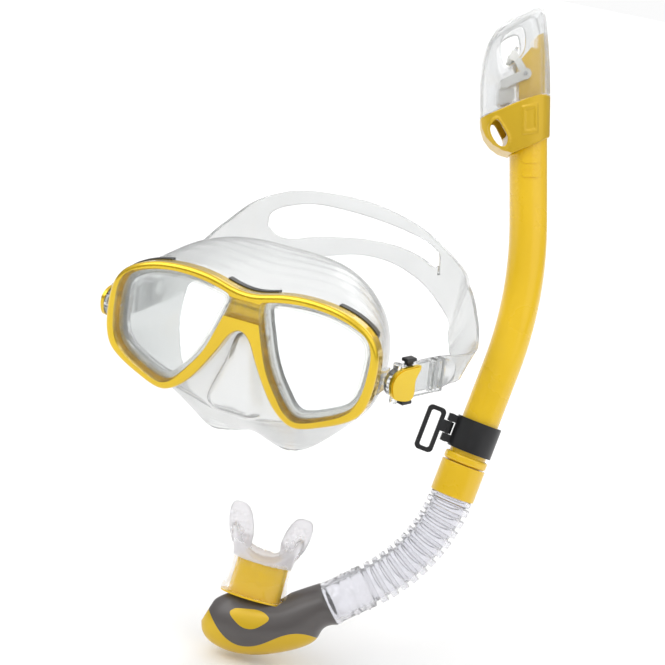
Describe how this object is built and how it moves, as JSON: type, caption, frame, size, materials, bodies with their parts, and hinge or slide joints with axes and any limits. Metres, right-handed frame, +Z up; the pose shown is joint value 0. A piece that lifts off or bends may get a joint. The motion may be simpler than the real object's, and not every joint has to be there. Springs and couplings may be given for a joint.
{
  "type": "snorkel mask",
  "caption": "Two-window diving mask with a silicone skirt and split head strap, and a dry-top snorkel with a flexible hose, purge chamber and strap keeper.",
  "frame": {"origin": "centre of the opening of the mask's face seal", "axes": "+X to the wearer's left, +Y into the face, +Z up"},
  "size_m": [0.2217, 0.2298, 0.4268],
  "materials": {
    "frame_yellow": "pearl gloss",
    "frame_dark": "satin",
    "clear_plastic": "clear gloss",
    "lens_glass": "polished",
    "silicone": "clear satin",
    "black_plastic": "satin",
    "tube_yellow": "gloss",
    "base_gold": "pearl gloss",
    "chamber_grey": "satin",
    "pin_steel": "brushed",
    "float_white": "matte"
  },
  "bodies": {
    "mask": {"front_frame": "frame_yellow", "rear_frame": "frame_dark", "bridge_latch": "clear_plastic", "skirt": "silicone", "lens_ring_left": "clear_plastic", "lens_left": "lens_glass", "buckle_hub_left": "clear_plastic", "lens_ring_right": "clear_plastic", "lens_right": "lens_glass", "buckle_hub_right": "clear_plastic"},
    "head_strap": {"strap": "silicone", "buckle_body_left": "clear_plastic", "buckle_cover_left": "frame_yellow", "strap_bar_left": "clear_plastic", "buckle_body_right": "clear_plastic", "buckle_cover_right": "frame_yellow", "strap_bar_right": "clear_plastic"},
    "barrel": {"tube": "tube_yellow", "top_base": "base_gold", "top_cap": "clear_plastic", "valve_column": "tube_yellow", "float_pin": "pin_steel"},
    "float": {"float_arm": "float_white", "float_block": "float_white", "valve_flap": "silicone"},
    "collar": {"keeper_collar": "black_plastic", "keeper_pin": "pin_steel"},
    "loop": {"keeper_loop": "black_plastic"},
    "hose_union": {"swivel_sleeve": "tube_yellow", "flex_hose": "silicone"},
    "lower_chamber": {"chamber": "chamber_grey", "purge_cover": "base_gold", "chamber_badge": "base_gold", "mouth_stub": "tube_yellow", "mouthpiece": "silicone", "purge_seat": "chamber_grey"},
    "purge": {"purge_flap": "silicone"},
    "button_upper_left": {"release_button_upper_left": "black_plastic"},
    "button_lower_left": {"release_button_lower_left": "black_plastic"},
    "button_upper_right": {"release_button_upper_right": "black_plastic"},
    "button_lower_right": {"release_button_lower_right": "black_plastic"}
  },
  "joints": [
    {"name": "strap_tilt", "type": "hinge", "parent": "mask", "child": "head_strap", "pos_m": [0, -0.041, -0.009], "axis": [1, 0, 0], "range_deg": [-20, 20]},
    {"name": "snorkel_pull", "type": "slide", "parent": "mask", "child": "barrel", "axis": [0.2736, -0.9296, 0.247], "range_m": [0, 0.25]},
    {"name": "float_swing", "type": "hinge", "parent": "barrel", "child": "float", "pos_m": [0.08124, 0.14023, 0.15539], "axis": [0.2736, -0.9296, 0.247], "range_deg": [-25, 0]},
    {"name": "keeper_turn", "type": "hinge", "parent": "barrel", "child": "collar", "pos_m": [0.1117, 0.09, -0.0674], "axis": [0.0896, 0.2803, 0.9557], "range_deg": [-60, 60]},
    {"name": "keeper_hinge", "type": "hinge", "parent": "collar", "child": "loop", "pos_m": [0.09484, 0.08579, -0.06459], "axis": [0.0896, 0.2803, 0.9557], "range_deg": [-45, 45]},
    {"name": "hose_swivel", "type": "hinge", "parent": "barrel", "child": "hose_union", "pos_m": [0.10946, 0.08299, -0.09129], "axis": [0.0896, 0.2803, 0.9557], "range_deg": [-90, 90]},
    {"name": "hose_bend", "type": "hinge", "parent": "hose_union", "child": "lower_chamber", "pos_m": [0.10443, 0.06724, -0.14501], "axis": [0.2736, -0.9296, 0.247], "range_deg": [-12, 12], "stiffness_Nm_per_rad": 3, "deforming": ["flex_hose"]},
    {"name": "purge_open", "type": "hinge", "parent": "lower_chamber", "child": "purge", "pos_m": [0.01359, 0.02166, -0.21594], "axis": [0.2736, -0.9296, 0.247], "range_deg": [-15, 0], "stiffness_Nm_per_rad": 0.002},
    {"name": "press_upper_left", "type": "slide", "parent": "head_strap", "child": "button_upper_left", "axis": [0.0609, 0.1055, -0.9925], "range_m": [0, 0.0012], "stiffness_N_per_m": 300},
    {"name": "press_lower_left", "type": "slide", "parent": "head_strap", "child": "button_lower_left", "axis": [-0.0609, -0.1055, 0.9925], "range_m": [0, 0.0012], "stiffness_N_per_m": 300},
    {"name": "press_upper_right", "type": "slide", "parent": "head_strap", "child": "button_upper_right", "axis": [0.017, 0.1207, -0.9925], "range_m": [0, 0.0012], "stiffness_N_per_m": 300},
    {"name": "press_lower_right", "type": "slide", "parent": "head_strap", "child": "button_lower_right", "axis": [-0.017, -0.1207, 0.9925], "range_m": [0, 0.0012], "stiffness_N_per_m": 300}
  ]
}
